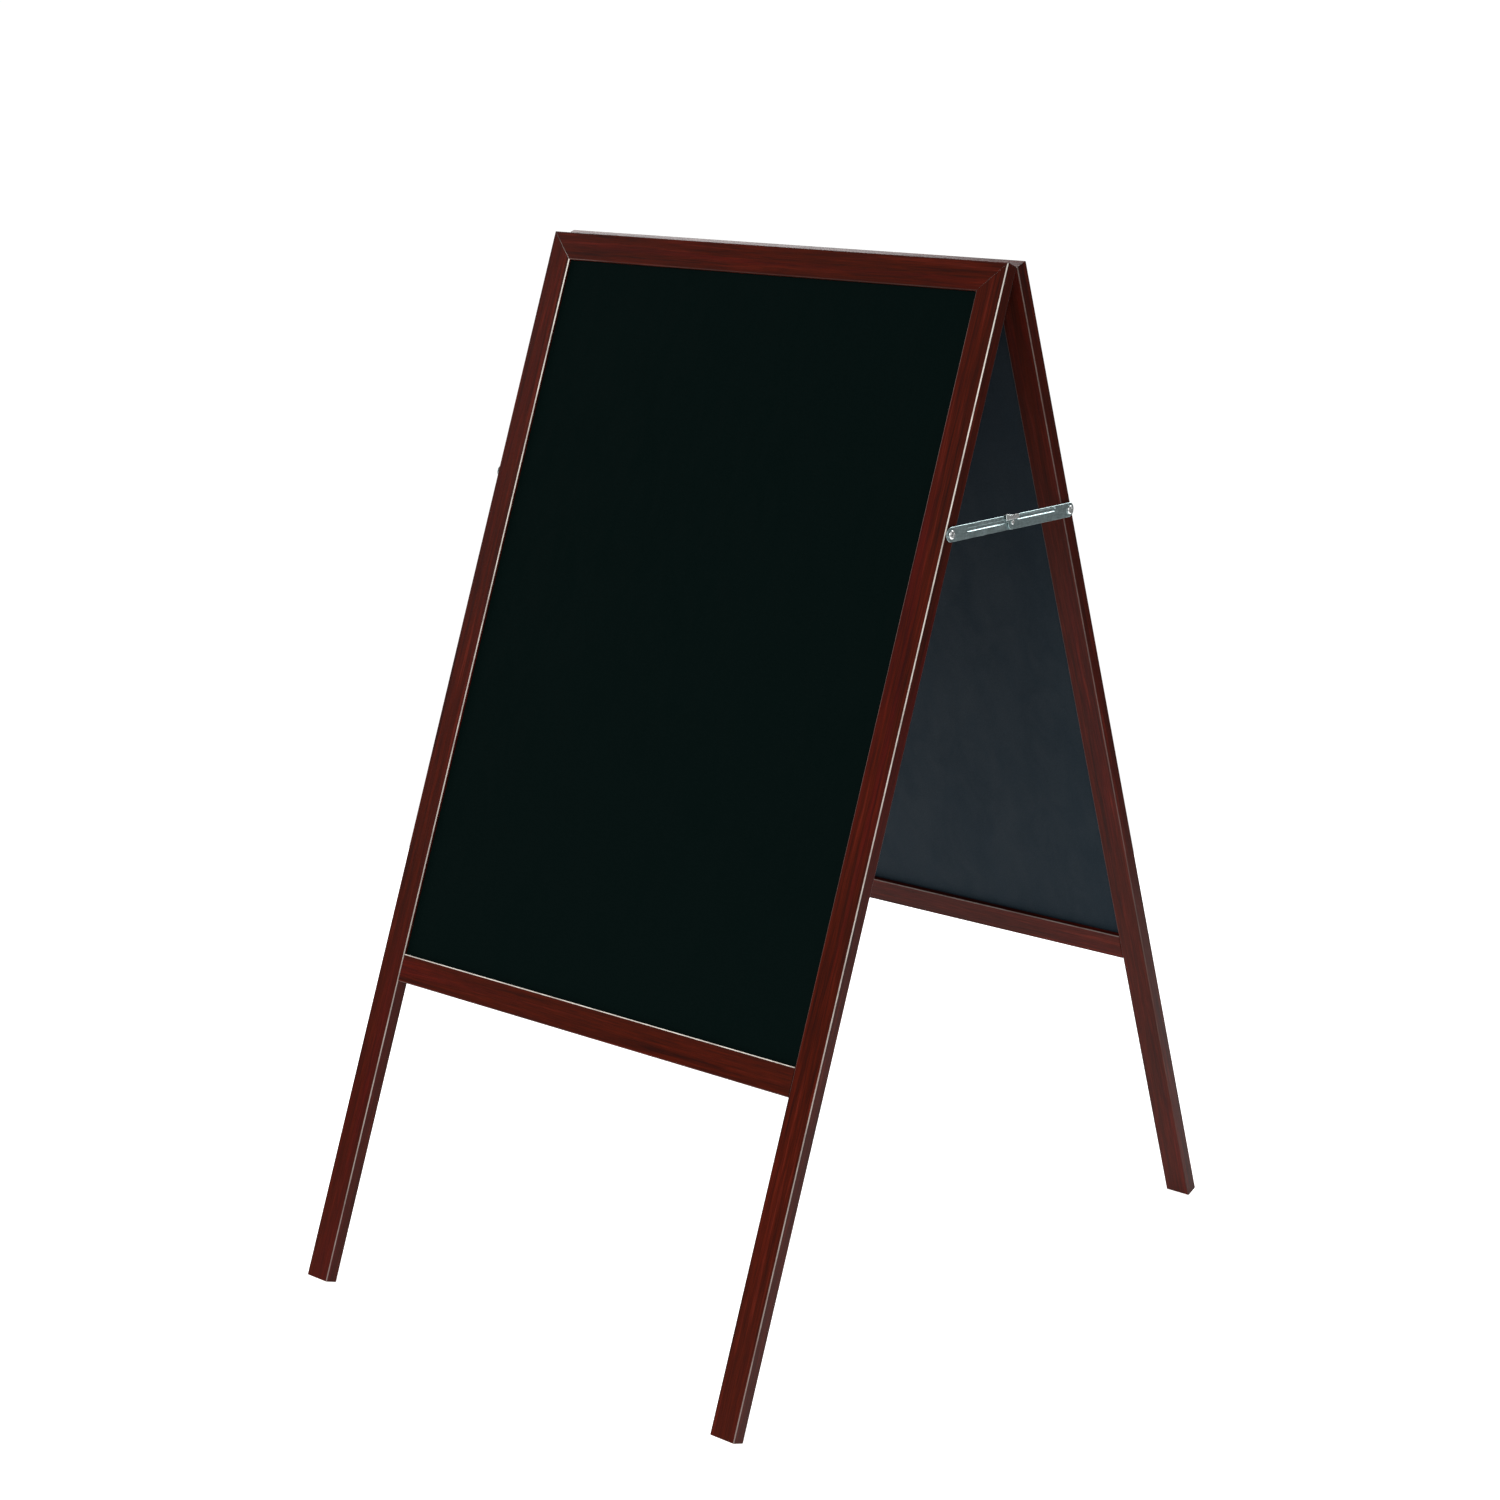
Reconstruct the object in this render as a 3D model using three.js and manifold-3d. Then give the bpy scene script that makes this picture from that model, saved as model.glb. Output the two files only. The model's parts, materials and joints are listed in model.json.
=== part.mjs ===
// Double-sided A-frame menu chalkboard. Two framed writing boards are hinged along their top edge, stand on
// the ends of their stiles, and are held apart by a folding stay on each side.
//
// Millimetres, +Z up, +X to the right of someone reading the front board, +Y towards the back board.
// The origin is on the floor, under the hinge line and halfway across.

import * as THREE from "three";
import { mergeVertices } from "three/addons/utils/BufferGeometryUtils.js";
import Module from "manifold-3d";

const wasm = await Module();
wasm.setup();

// ---- Driving dimensions ----

const LEAF_LENGTH = 1181;
const LEAF_WIDTH = 609.6;
const MEMBER_FACE = 30.5; // width of a stile or rail, seen from the front
const MEMBER_DEPTH = 15.8; // thickness of a leaf
const RAIL_DROP = 814.7; // from the top of a leaf to the upper edge of its bottom rail
const HALF_ANGLE = THREE.MathUtils.degToRad(20.28); // from the vertical to each open leaf
const LEAF_GAP = 1; // between the leaves when they are folded together
const TOUCH = 0.3; // left between two pieces that touch

const PANEL_THICKNESS = 6;
const PANEL_SETBACK = 6; // from the inner face of the leaf to the panel
const PANEL_GRIP = 7; // how far the panel reaches into the frame's groove

const DOWEL_RADIUS = 3;
const DOWEL_LENGTH = 40;
const DOWEL_DROPS = [13, 24]; // below the upper edge of the bottom rail

const KEY_ACROSS = 20; // across the mitre line
const KEY_ALONG = 16; // along the mitre line
const KEY_THICKNESS = 3;
const KEY_INSET = 14.5; // from each outer edge to the middle of the key

const HINGE_INSET = 110; // from the side of the leaf to the middle of a hinge
const HINGE_LENGTH = 50;
const HINGE_HEIGHT = 19; // from the hinge line to the lower edge of a plate
const HINGE_PLATE = 1.1;
const KNUCKLES = 5;
const KNUCKLE_RADIUS = 2.6;
const KNUCKLE_BORE = 1.4;
const KNUCKLE_CLEAR = 3.1; // radius kept free for the other leaf's knuckles
const PIN_RADIUS = 1.2;
const HINGE_SCREW_SPACING = 30;
const HINGE_SCREW_DROP = 11;
const HINGE_SCREW = { head: 2.8, shank: 1.2, cone: 1.5, length: 12.5, taper: 2, sunk: 0.05 };

const STAY_DROP = 273; // from the hinge line to the stay's screws, along the leaf
const LINK_RADIUS = 7.5; // half the width of a link, and its end radius
const LINK_THICKNESS = 1.2;
const LINK_GROOVE = { start: 28, end: 93, radius: 2.2, depth: 0.5 };
const GROOVE_RISE = { front: 1.4, back: 3.8 }; // from the middle of the link to the middle of its groove
const FRONT_LINK_OFFSET = 0.7; // from the side of the leaf to the inner face of each link
const BACK_LINK_OFFSET = 2.2;
const WASHER_OFFSET = 0.15;
const WASHER_RADIUS = 5.5;
const SCREW_SHANK = 1.9;
const SCREW_HEAD = { radius: 4.5, height: 2 };
const SCREW_REACH = 18; // into the stile
const SCREW_TAPER = 4; // length of the point
const SCREW_CLEAR = 0.25; // round a shank
const CROSS_RECESS = { half: 2.4, width: 0.9, depth: 1 };
const RIVET_SHANK = 1.5;
const RIVET_CLEAR = 0.1;
const RIVET_HEAD = { radius: 2.5, height: 1 };
const STAY_GAP = 0.2; // between a stay's screw head or washer and its link
const RIVET_GAP = 0.1; // between a rivet head or the clip and its link
const CLIP = { reach: 12, tail: 10, low: 3, thickness: 1, lip: 5.4, lipHeight: 1.2 };

// ---- Dimensions that follow from them ----

const HALF_WIDTH = LEAF_WIDTH / 2;
const INNER_FACE = LEAF_GAP / 2; // from the hinge line to a leaf's inner face
const OUTER_FACE = INNER_FACE + MEMBER_DEPTH;
const MID_DEPTH = INNER_FACE + MEMBER_DEPTH / 2;
const RAIL_FOOT = RAIL_DROP + MEMBER_FACE;
const OPENING_HALF = HALF_WIDTH - MEMBER_FACE;
const HINGE_Z = LEAF_LENGTH * Math.cos(HALF_ANGLE) - INNER_FACE * Math.sin(HALF_ANGLE);
const SCREW_Y = STAY_DROP * Math.sin(HALF_ANGLE) + MID_DEPTH * Math.cos(HALF_ANGLE); // also a link's length
const SCREW_Z = HINGE_Z - STAY_DROP * Math.cos(HALF_ANGLE) + MID_DEPTH * Math.sin(HALF_ANGLE);

const OPEN = 1; // how far a cut runs past the face it opens

const FINE = 16; // sides of a turned piece that shows
const COARSE = 12; // sides of one that is hidden, or of a hole
const SIDES = { left: -1, right: 1 };

// Outlines of round heads, as fractions of [radius, height] from the seat up.
const PAN_HEAD = [[1, 0], [1, 0.35], [0.8, 0.8], [0.4, 1], [0, 1]];
const LOW_DOME = [[1, 0], [0.8, 0.7], [0, 1]];

// ---- Finishes ----

function finish(color, roughness, metalness) {
  return new THREE.MeshStandardMaterial({ color, roughness, metalness });
}

const MAHOGANY = finish(0x45190f, 0.35, 0);
const CHALKBOARD = finish(0x101a1a, 0.85, 0);
const BEECH = finish(0xc8a878, 0.8, 0);
const ZINC = finish(0x87918f, 0.4, 0.9);
const STEEL = finish(0xc6cac9, 0.25, 1);

// ---- Solids ----

function toSolid(geometry) {
  const bare = new THREE.BufferGeometry();
  bare.setAttribute("position", geometry.getAttribute("position"));
  bare.setIndex(geometry.index);
  const merged = mergeVertices(bare, 1e-4);
  const mesh = new wasm.Mesh({
    numProp: 3,
    vertProperties: new Float32Array(merged.getAttribute("position").array),
    triVerts: new Uint32Array(merged.index.array),
  });
  return new wasm.Manifold(mesh);
}

function toGeometry(solid) {
  const mesh = solid.getMesh();
  const geometry = new THREE.BufferGeometry();
  geometry.setAttribute("position", new THREE.Float32BufferAttribute(mesh.vertProperties, 3));
  geometry.setIndex(new THREE.Uint32BufferAttribute(mesh.triVerts, 1));
  geometry.computeVertexNormals();
  return geometry;
}

function join(geometries) {
  const solids = geometries.map(toSolid);
  return toGeometry(solids.reduce((whole, next) => whole.add(next)));
}

function cut(geometry, tools) {
  const solids = tools.map(toSolid);
  return toGeometry(solids.reduce((whole, tool) => whole.subtract(tool), toSolid(geometry)));
}

// A block between two values on each axis, given in either order.
function block([x0, x1], [y0, y1], [z0, z1]) {
  const box = new THREE.BoxGeometry(Math.abs(x1 - x0), Math.abs(y1 - y0), Math.abs(z1 - z0));
  return box.translate((x0 + x1) / 2, (y0 + y1) / 2, (z0 + z1) / 2);
}

// An outline in the XZ plane, given thickness from y0 to y1.
function boardFromOutline(points, y0, y1) {
  const shape = new THREE.Shape(points.map(([x, z]) => new THREE.Vector2(x, z)));
  const prism = new THREE.ExtrudeGeometry(shape, { depth: y1 - y0, bevelEnabled: false });
  return prism.rotateX(Math.PI / 2).translate(0, y1, 0);
}

// An outline in the YZ plane, given thickness from x0 to x1, in either order.
function stripFromOutline(shape, x0, x1) {
  const settings = { depth: Math.abs(x1 - x0), bevelEnabled: false, curveSegments: FINE / 2 };
  const strip = new THREE.ExtrudeGeometry(shape, settings);
  const turn = new THREE.Matrix4().makeBasis(
    new THREE.Vector3(0, 1, 0),
    new THREE.Vector3(0, 0, 1),
    new THREE.Vector3(1, 0, 0),
  );
  return strip.applyMatrix4(turn).translate(Math.min(x0, x1), 0, 0);
}

// A solid of revolution about X. The profile's points are [radius, distance towards the given side].
function turned(profile, side, sides = COARSE) {
  const points = profile.map(([radius, reach]) => new THREE.Vector2(radius, reach));
  return new THREE.LatheGeometry(points, sides).rotateZ((-side * Math.PI) / 2);
}

const rod = (radius, low, high) => [[0, low], [radius, low], [radius, high], [0, high]];

// The profile of a head that stands on a seat.
const headProfile = (curve, { radius, height }, seat) =>
  curve.map(([across, up]) => [across * radius, seat + up * height]);

// A slot with round ends, centred on y0 and y1 at height z.
function slotShape(y0, y1, z, radius) {
  const shape = new THREE.Shape();
  shape.absarc(y1, z, radius, -Math.PI / 2, Math.PI / 2);
  shape.absarc(y0, z, radius, Math.PI / 2, (3 * Math.PI) / 2);
  shape.closePath();
  return shape;
}

// Two crossed slots in a screw head, sunk from the top of the head.
function crossRecess(top, side) {
  const x = [side * (top - CROSS_RECESS.depth), side * (top + OPEN)];
  const along = [-CROSS_RECESS.half, CROSS_RECESS.half];
  const over = [-CROSS_RECESS.width / 2, CROSS_RECESS.width / 2];
  return [block(x, along, over), block(x, over, along)];
}

function piece(name, geometry, material) {
  const mesh = new THREE.Mesh(geometry, material);
  mesh.name = name;
  return mesh;
}

// ---- One leaf ----
//
// A leaf is drawn hanging straight down from the hinge line, its inner face towards -Y. The same drawing
// makes both leaves: the front one is turned half round, so its drawn left side ends up on the right.

const LEAVES = { front: { turn: Math.PI, flip: -1 }, back: { turn: 0, flip: 1 } };

const panelBlock = (grow) =>
  block(
    [-(OPENING_HALF + PANEL_GRIP + grow), OPENING_HALF + PANEL_GRIP + grow],
    [INNER_FACE + PANEL_SETBACK - grow, INNER_FACE + PANEL_SETBACK + PANEL_THICKNESS + grow],
    [-(RAIL_DROP + PANEL_GRIP + grow), -(MEMBER_FACE - PANEL_GRIP - grow)],
  );

function dowel(side, drop, grow) {
  const half = DOWEL_LENGTH / 2 + grow;
  const geometry = turned(rod(DOWEL_RADIUS + grow, -half, half), side);
  return geometry.translate(side * OPENING_HALF, MID_DEPTH, -(RAIL_DROP + drop));
}

function mitreKey(side, grow) {
  const size = [KEY_ACROSS, KEY_THICKNESS, KEY_ALONG].map((length) => length + 2 * grow);
  const key = new THREE.BoxGeometry(...size).rotateY((side * Math.PI) / 4);
  return key.translate(side * (HALF_WIDTH - KEY_INSET), MID_DEPTH, -KEY_INSET);
}

function stile(side) {
  const mitre = TOUCH * Math.SQRT1_2;
  const outline = [
    [side * HALF_WIDTH, -mitre],
    [side * OPENING_HALF, -MEMBER_FACE - mitre],
    [side * OPENING_HALF, -LEAF_LENGTH],
    [side * HALF_WIDTH, -LEAF_LENGTH],
  ];
  const screwHole = turned(rod(SCREW_SHANK + SCREW_CLEAR, -SCREW_REACH - TOUCH, OPEN), side);
  return cut(boardFromOutline(outline, INNER_FACE, OUTER_FACE), [
    panelBlock(TOUCH),
    mitreKey(side, TOUCH),
    ...DOWEL_DROPS.map((drop) => dowel(side, drop, TOUCH)),
    screwHole.translate(side * HALF_WIDTH, MID_DEPTH, -STAY_DROP),
  ]);
}

function topRail() {
  const mitre = TOUCH * Math.SQRT1_2;
  const outline = [
    [-HALF_WIDTH + mitre, 0],
    [HALF_WIDTH - mitre, 0],
    [OPENING_HALF - mitre, -MEMBER_FACE],
    [-OPENING_HALF + mitre, -MEMBER_FACE],
  ];
  const sides = Object.values(SIDES);
  return cut(boardFromOutline(outline, INNER_FACE, OUTER_FACE), [
    panelBlock(TOUCH),
    ...sides.map((side) => mitreKey(side, TOUCH)),
    ...sides.flatMap((side) => hingeMortise(side)),
  ]);
}

function bottomRail() {
  const reach = OPENING_HALF - TOUCH;
  const bar = block([-reach, reach], [INNER_FACE, OUTER_FACE], [-RAIL_FOOT, -RAIL_DROP]);
  const sides = Object.values(SIDES);
  return cut(bar, [
    panelBlock(TOUCH),
    ...sides.flatMap((side) => DOWEL_DROPS.map((drop) => dowel(side, drop, TOUCH))),
  ]);
}

// ---- Hinges, drawn in the leaf's frame with the hinge line as the X axis ----

const hingeX = (side) => side * (HALF_WIDTH - HINGE_INSET);
const hingeScrewXs = (side) => [-1, 1].map((end) => hingeX(side) + (end * HINGE_SCREW_SPACING) / 2);

// The countersunk screw points along +Y from the plate's face. grow widens it into its own hole, which
// stays open above the head.
function hingeScrew(x, grow = 0) {
  const { head, shank, cone, length, taper, sunk } = HINGE_SCREW;
  const face = -(INNER_FACE + sunk);
  const top = grow > 0 ? face + OPEN : face;
  const profile = [
    [0, face - length - grow],
    [shank + grow, face - length + taper],
    [shank + grow, face - cone],
    [head + grow, face],
  ];
  if (top > face) profile.push([head + grow, top]);
  profile.push([0, top]);
  return turned(profile, 1).rotateZ(-Math.PI / 2).translate(x, 0, -HINGE_SCREW_DROP);
}

function hingeMortise(side) {
  const half = HINGE_LENGTH / 2 + TOUCH;
  const x = [hingeX(side) - half, hingeX(side) + half];
  const open = INNER_FACE - OPEN;
  return [
    block(x, [open, INNER_FACE + HINGE_PLATE + TOUCH], [-HINGE_HEIGHT - TOUCH, OPEN]),
    block(x, [open, KNUCKLE_CLEAR], [-KNUCKLE_CLEAR, OPEN]),
    ...hingeScrewXs(side).map((screwX) => hingeScrew(screwX, SCREW_CLEAR)),
  ];
}

// A plate carries every second knuckle: the first, third and fifth, or the second and fourth.
function hingePlate(side, firstKnuckle) {
  const middle = hingeX(side);
  const pitch = HINGE_LENGTH / KNUCKLES;
  const web = [INNER_FACE, INNER_FACE + HINGE_PLATE];
  const half = HINGE_LENGTH / 2;
  const parts = [block([middle - half, middle + half], web, [-HINGE_HEIGHT, -KNUCKLE_CLEAR])];
  for (let i = firstKnuckle; i < KNUCKLES; i += 2) {
    const start = middle - half + i * pitch;
    const x = [start + TOUCH / 2, start + pitch - TOUCH / 2];
    parts.push(turned(rod(KNUCKLE_RADIUS, ...x), 1));
    parts.push(block(x, web, [-KNUCKLE_CLEAR - OPEN, -KNUCKLE_BORE]));
  }
  const bore = turned(rod(KNUCKLE_BORE, middle - half - OPEN, middle + half + OPEN), 1);
  const holes = hingeScrewXs(side).map((screwX) => hingeScrew(screwX, SCREW_CLEAR));
  return cut(join(parts), [bore, ...holes]);
}

function hingePin(side) {
  const half = HINGE_LENGTH / 2;
  return turned(rod(PIN_RADIUS, hingeX(side) - half, hingeX(side) + half), 1);
}

// ---- Stay fittings that sit on a leaf, drawn in the leaf's frame ----

const linkOuter = (offset) => offset + LINK_THICKNESS;

function stayScrew(side, linkOffset) {
  const seat = linkOuter(linkOffset) + STAY_GAP;
  const profile = [
    [0, -SCREW_REACH],
    [SCREW_SHANK, -SCREW_REACH + SCREW_TAPER],
    [SCREW_SHANK, seat],
    ...headProfile(PAN_HEAD, SCREW_HEAD, seat),
  ];
  const screw = cut(turned(profile, side, FINE), crossRecess(seat + SCREW_HEAD.height, side));
  return screw.translate(side * HALF_WIDTH, MID_DEPTH, -STAY_DROP);
}

function stayWasher(side, linkOffset) {
  const bore = SCREW_SHANK + SCREW_CLEAR;
  const outer = linkOffset - STAY_GAP;
  const profile = [
    [bore, WASHER_OFFSET],
    [WASHER_RADIUS, WASHER_OFFSET],
    [WASHER_RADIUS, outer],
    [bore, outer],
    [bore, WASHER_OFFSET],
  ];
  return turned(profile, side).translate(side * HALF_WIDTH, MID_DEPTH, -STAY_DROP);
}

function leaf(name) {
  const { turn, flip } = LEAVES[name];
  const tilted = new THREE.Group();
  tilted.rotation.x = HALF_ANGLE;
  tilted.add(
    piece(`${name}_top_rail`, topRail(), MAHOGANY),
    piece(`${name}_bottom_rail`, bottomRail(), MAHOGANY),
    piece(`${name}_panel`, panelBlock(0), CHALKBOARD),
  );
  const linkOffset = name === "front" ? FRONT_LINK_OFFSET : BACK_LINK_OFFSET;
  const firstKnuckle = name === "front" ? 0 : 1;
  for (const [sideName, worldSide] of Object.entries(SIDES)) {
    const side = worldSide * flip;
    tilted.add(
      piece(`${name}_stile_${sideName}`, stile(side), MAHOGANY),
      piece(`${name}_mitre_key_${sideName}`, mitreKey(side, 0), BEECH),
      piece(`hinge_${sideName}_plate_${name}`, hingePlate(side, firstKnuckle), ZINC),
      piece(`stay_${sideName}_screw_${name}`, stayScrew(side, linkOffset), STEEL),
      piece(`stay_${sideName}_washer_${name}`, stayWasher(side, linkOffset), STEEL),
    );
    DOWEL_DROPS.forEach((drop, i) => {
      tilted.add(piece(`${name}_dowel_${sideName}_${i + 1}`, dowel(side, drop, 0), BEECH));
    });
    hingeScrewXs(side).forEach((screwX, i) => {
      tilted.add(piece(`hinge_${sideName}_screw_${name}_${i + 1}`, hingeScrew(screwX), STEEL));
    });
  }
  const standing = new THREE.Group();
  standing.rotation.z = turn;
  standing.position.z = HINGE_Z;
  standing.add(tilted);
  return standing;
}

// ---- Stays, drawn open, in the row's own frame ----

const acrossSide = (side, inner, outer) => [side * (HALF_WIDTH + inner), side * (HALF_WIDTH + outer)];

// A link runs from its screw, at screwY, to the knee, at y = 0.
function link(side, screwY, offset, rise) {
  const outline = slotShape(Math.min(screwY, 0), Math.max(screwY, 0), SCREW_Z, LINK_RADIUS);
  const holes = [
    [screwY, SCREW_SHANK + SCREW_CLEAR],
    [0, RIVET_SHANK + RIVET_CLEAR],
  ];
  for (const [y, radius] of holes) {
    outline.holes.push(new THREE.Path().absarc(y, SCREW_Z, radius, 0, 2 * Math.PI));
  }
  const outer = linkOuter(offset);
  const strip = stripFromOutline(outline, ...acrossSide(side, offset, outer));
  const { start, end, radius, depth } = LINK_GROOVE;
  const ends = [start, end].map((reach) => screwY - Math.sign(screwY) * reach);
  const groove = slotShape(Math.min(...ends), Math.max(...ends), SCREW_Z + rise, radius);
  const sunk = acrossSide(side, outer - depth, outer + OPEN);
  return cut(strip, [stripFromOutline(groove, ...sunk)]);
}

// The knee rivet in two halves. The knee is the pivot at which the linkage is open, so the head goes
// with the back link and the tail with the front link.
function rivetHead(side) {
  const seat = linkOuter(BACK_LINK_OFFSET) + RIVET_GAP;
  const profile = [
    [0, BACK_LINK_OFFSET],
    [RIVET_SHANK, BACK_LINK_OFFSET],
    [RIVET_SHANK, seat],
    ...headProfile(LOW_DOME, RIVET_HEAD, seat),
  ];
  return turned(profile, side, FINE).translate(side * HALF_WIDTH, 0, SCREW_Z);
}

function rivetTail(side) {
  const seat = FRONT_LINK_OFFSET - RIVET_GAP;
  const end = linkOuter(FRONT_LINK_OFFSET);
  const profile = [
    [0, WASHER_OFFSET],
    [RIVET_HEAD.radius, WASHER_OFFSET],
    [RIVET_HEAD.radius, seat],
    [RIVET_SHANK, seat],
    [RIVET_SHANK, end],
    [0, end],
  ];
  return turned(profile, side).translate(side * HALF_WIDTH, 0, SCREW_Z);
}

// The clip lies on the back link's outer face. Its lip reaches in over the front link's upper edge, which
// bears on it when the stay is straight.
function stopClip(side) {
  const face = linkOuter(BACK_LINK_OFFSET) + RIVET_GAP;
  const low = SCREW_Z + CLIP.low;
  const top = SCREW_Z + LINK_RADIUS + TOUCH;
  const plate = acrossSide(side, face, face + CLIP.thickness);
  const lip = acrossSide(side, FRONT_LINK_OFFSET, face + CLIP.thickness);
  const lipEnd = -CLIP.reach + CLIP.lip;
  return join([
    block(plate, [-CLIP.reach, CLIP.tail], [low, top]),
    block(plate, [-CLIP.reach, lipEnd], [low, top + CLIP.lipHeight]),
    block(lip, [-CLIP.reach, lipEnd], [top, top + CLIP.lipHeight]),
  ]);
}

function stays() {
  const group = new THREE.Group();
  for (const [sideName, side] of Object.entries(SIDES)) {
    group.add(
      piece(`stay_${sideName}_link_front`, link(side, -SCREW_Y, FRONT_LINK_OFFSET, GROOVE_RISE.front), ZINC),
      piece(`stay_${sideName}_link_back`, link(side, SCREW_Y, BACK_LINK_OFFSET, GROOVE_RISE.back), ZINC),
      piece(`stay_${sideName}_rivet_head`, rivetHead(side), STEEL),
      piece(`stay_${sideName}_rivet_tail`, rivetTail(side), STEEL),
      piece(`stay_${sideName}_stop_clip`, stopClip(side), STEEL),
    );
  }
  return group;
}

function hingePins() {
  const group = new THREE.Group();
  group.position.z = HINGE_Z;
  for (const [sideName, side] of Object.entries(SIDES)) {
    group.add(piece(`hinge_${sideName}_pin`, hingePin(side), STEEL));
  }
  return group;
}

const easel = new THREE.Group();
easel.add(leaf("front"), leaf("back"), hingePins(), stays());

export default easel;
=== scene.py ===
"""Looks of a folding double-sided menu chalkboard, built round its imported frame.

Metres, in the frame's own axes: +X is the right of someone reading the front board, +Y runs from the front
board to the back board, and +Z is up. A leaf's own axes hang from the hinge line: X across the leaf, Y from
its inner face to its outer face, and Z up along the leaf. The front leaf is the back one turned half round.
"""

import json
import math

import bmesh
import bpy
from mathutils import Matrix, Vector

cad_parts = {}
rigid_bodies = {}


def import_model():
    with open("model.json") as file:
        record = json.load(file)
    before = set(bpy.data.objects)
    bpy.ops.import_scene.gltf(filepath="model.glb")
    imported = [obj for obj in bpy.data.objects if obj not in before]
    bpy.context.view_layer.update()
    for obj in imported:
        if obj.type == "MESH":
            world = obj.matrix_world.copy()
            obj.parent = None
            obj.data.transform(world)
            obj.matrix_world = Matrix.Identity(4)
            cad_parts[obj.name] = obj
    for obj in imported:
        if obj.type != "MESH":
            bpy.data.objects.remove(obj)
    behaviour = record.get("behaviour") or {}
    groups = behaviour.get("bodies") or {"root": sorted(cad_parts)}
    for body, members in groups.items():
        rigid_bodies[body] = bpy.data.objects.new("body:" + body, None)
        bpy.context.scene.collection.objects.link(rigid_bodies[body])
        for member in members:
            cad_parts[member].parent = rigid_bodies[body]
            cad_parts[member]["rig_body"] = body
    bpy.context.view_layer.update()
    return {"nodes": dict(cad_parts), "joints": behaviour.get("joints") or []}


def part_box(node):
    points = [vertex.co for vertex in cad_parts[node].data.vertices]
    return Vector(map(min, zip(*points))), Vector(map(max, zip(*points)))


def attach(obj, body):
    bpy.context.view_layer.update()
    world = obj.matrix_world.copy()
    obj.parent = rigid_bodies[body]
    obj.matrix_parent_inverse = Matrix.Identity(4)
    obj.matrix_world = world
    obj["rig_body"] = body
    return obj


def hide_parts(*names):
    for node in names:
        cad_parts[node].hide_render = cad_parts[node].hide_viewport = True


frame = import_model()

MM = 0.001
PAST = 1 * MM  # how far a cut runs past the face it opens

# ---- Camera ----

# Solved from the straight edges of the object in the photo, together with its proportions.
CAMERA_PLACE = Vector((1.97503, -2.42503, 1.34660))
CAMERA_YAW, CAMERA_PITCH, CAMERA_ROLL = 0.6914, -0.24411, 0.00712
CAMERA_LENS, SENSOR_WIDTH = 70.80, 36


def make_camera():
    data = bpy.data.cameras.new("camera")
    data.lens, data.sensor_width = CAMERA_LENS, SENSOR_WIDTH
    camera = bpy.data.objects.new("camera", data)
    bpy.context.scene.collection.objects.link(camera)
    camera.matrix_world = (
        Matrix.Translation(CAMERA_PLACE)
        @ Matrix.Rotation(CAMERA_YAW, 4, "Z")
        @ Matrix.Rotation(math.pi / 2 + CAMERA_PITCH, 4, "X")
        @ Matrix.Rotation(CAMERA_ROLL, 4, "Z")
    )
    bpy.context.scene.camera = camera


# ---- Shader graphs ----


def srgb(red, green, blue):
    """A linear colour from the usual 0 to 255 display values."""
    def linear(value):
        value /= 255
        return value / 12.92 if value <= 0.04045 else ((value + 0.055) / 1.055) ** 2.4

    return (linear(red), linear(green), linear(blue), 1)


class Graph:
    """A material's nodes, with a Principled shader as its surface."""

    def __init__(self, name, **shader):
        self.material = bpy.data.materials.new(name)
        self.material.use_nodes = True
        self.tree = self.material.node_tree
        self.tree.nodes.clear()
        output = self.tree.nodes.new("ShaderNodeOutputMaterial")
        self.shader = self.tree.nodes.new("ShaderNodeBsdfPrincipled")
        self.tree.links.new(self.shader.outputs[0], output.inputs["Surface"])
        for socket, value in shader.items():
            self.shader.inputs[socket.replace("_", " ")].default_value = value

    def node(self, kind, inputs, **settings):
        made = self.tree.nodes.new("ShaderNode" + kind)
        for name, value in settings.items():
            setattr(made, name, value)
        for socket, value in inputs.items():
            if isinstance(value, bpy.types.NodeSocket):
                self.tree.links.new(value, made.inputs[socket])
            else:
                made.inputs[socket].default_value = value
        return made

    def attribute(self, name, output):
        return self.node("Attribute", {}, attribute_name=name).outputs[output]

    def object_place(self):
        return self.node("TexCoord", {}).outputs["Object"]

    def stretch(self, vector, scale):
        return self.node("VectorMath", {0: vector, 1: scale}, operation="MULTIPLY").outputs[0]

    def noise(self, vector, scale, detail=3, roughness=0.5, distortion=0):
        vector = self.stretch(vector, scale)
        inputs = {"Vector": vector, "Scale": 1, "Detail": detail, "Roughness": roughness}
        return self.node("TexNoise", {**inputs, "Distortion": distortion}).outputs["Fac"]

    def between(self, value, low, high, out_low=0, out_high=1):
        """value's range from low to high, mapped on to the other range and held inside it."""
        inputs = {"Value": value, "From Min": low, "From Max": high, "To Min": out_low, "To Max": out_high}
        return self.node("MapRange", inputs, interpolation_type="SMOOTHSTEP").outputs[0]

    def ramp(self, value, stops):
        made = self.node("ValToRGB", {"Fac": value})
        elements = made.color_ramp.elements
        while len(elements) < len(stops):
            elements.new(0.5)
        for element, (place, colour) in zip(elements, stops):
            element.position, element.color = place, colour
        return made.outputs["Color"]

    def mix(self, share, first, second):
        return self.node("Mix", {0: share, 6: first, 7: second}, data_type="RGBA").outputs[2]

    def shade(self, colour, share):
        return self.node("VectorMath", {0: colour, "Scale": share}, operation="SCALE").outputs[0]

    def maths(self, operation, first, second):
        return self.node("Math", {0: first, 1: second}, operation=operation).outputs[0]

    def bump(self, height, distance, strength=1):
        inputs = {"Height": height, "Distance": distance, "Strength": strength}
        self.link(self.node("Bump", inputs).outputs[0], "Normal")

    def link(self, value, socket):
        self.tree.links.new(value, self.shader.inputs[socket])


# ---- Finishes ----

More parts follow.
